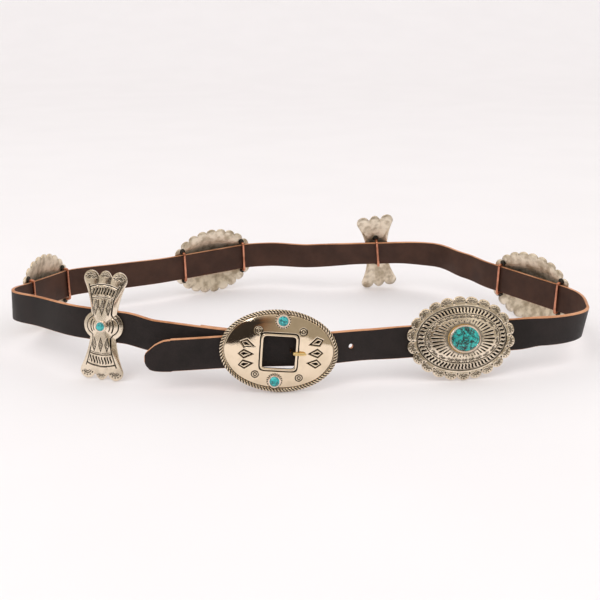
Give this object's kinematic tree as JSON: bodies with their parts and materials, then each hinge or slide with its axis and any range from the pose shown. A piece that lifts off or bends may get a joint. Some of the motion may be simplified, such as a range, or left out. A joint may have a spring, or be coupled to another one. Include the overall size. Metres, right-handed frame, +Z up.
{
  "type": "concho belt",
  "caption": "Leather strap with scalloped oval silver conchos, butterfly spacers and an oval silver buckle, set with turquoise, fastened into a loop and standing on its edge.",
  "frame": {"origin": "on the surface it stands on, under the middle of its footprint", "axes": "+Z up, +X along the loop's width with the tongue's end to -X, -Y out of the buckle's face"},
  "size_m": [0.4766, 0.3004, 0.0837],
  "materials": {
    "leather": "satin, almost black outside, dark brown inside, raw tan edges",
    "silver": "antiqued, dark in the stamped recesses",
    "polished_silver": "polished",
    "turquoise": "polished stone with a dark web",
    "prong_brass": "polished",
    "rivet_brass": "satin"
  },
  "bodies": {
    "root": {"strap": "leather", "buckle": "polished_silver", "buckle_stone_top": "turquoise", "buckle_stone_bottom": "turquoise", "buckle_prong": "prong_brass", "fold_rivet": "rivet_brass", "concho_1": "silver", "concho_2": "silver", "concho_3": "silver", "concho_4": "silver", "concho_stone_1": "turquoise", "concho_stone_2": "turquoise", "concho_stone_3": "turquoise", "concho_stone_4": "turquoise", "butterfly_1": "silver", "butterfly_2": "silver", "butterfly_stone_1": "turquoise", "butterfly_stone_2": "turquoise"}
  },
  "joints": []
}
